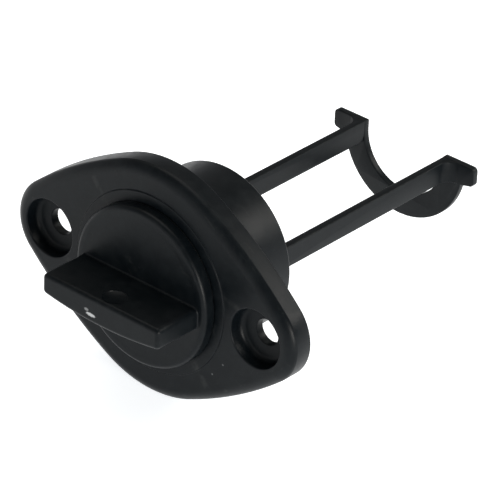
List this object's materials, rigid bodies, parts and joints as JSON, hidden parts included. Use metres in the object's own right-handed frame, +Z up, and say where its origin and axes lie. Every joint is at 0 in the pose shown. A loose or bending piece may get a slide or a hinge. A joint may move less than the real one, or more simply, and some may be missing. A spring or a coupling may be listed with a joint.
{
  "type": "captive drain bung",
  "caption": "Captive screw-in drain bung in a flanged transom housing: winged cap, long arms and a rear catch that stops it at the end of its pull.",
  "frame": {"origin": "on the bore's axis, in the plane of the flange's back face, which lies on the hull", "axes": "+X through both screw holes, +Y along the bore into the hull, +Z up, square to both"},
  "size_m": [0.0698, 0.0885, 0.048],
  "materials": {
    "black_plastic": "satin moulded black nylon with a fine grain",
    "seal_rubber": "smooth black nitrile rubber"
  },
  "bodies": {
    "housing": {"flange": "black_plastic", "spigot": "black_plastic"},
    "seal": {"seal": "seal_rubber"},
    "bung": {"cap": "black_plastic", "wing": "black_plastic", "plug": "black_plastic", "arm_left": "black_plastic", "arm_right": "black_plastic", "catch": "black_plastic"}
  },
  "joints": [
    {"name": "bung_travel", "type": "slide", "parent": "housing", "child": "seal", "axis": [0, -1, 0], "range_m": [0, 0.0527]},
    {"name": "bung_turn", "type": "hinge", "parent": "seal", "child": "bung", "pos_m": [0, 0, 0], "axis": [0, -1, 0], "range_deg": [0, 4743]}
  ],
  "couplings": [
    {"joint": "bung_travel", "follows": "bung_turn", "m_per_rad": 0.00063662}
  ]
}
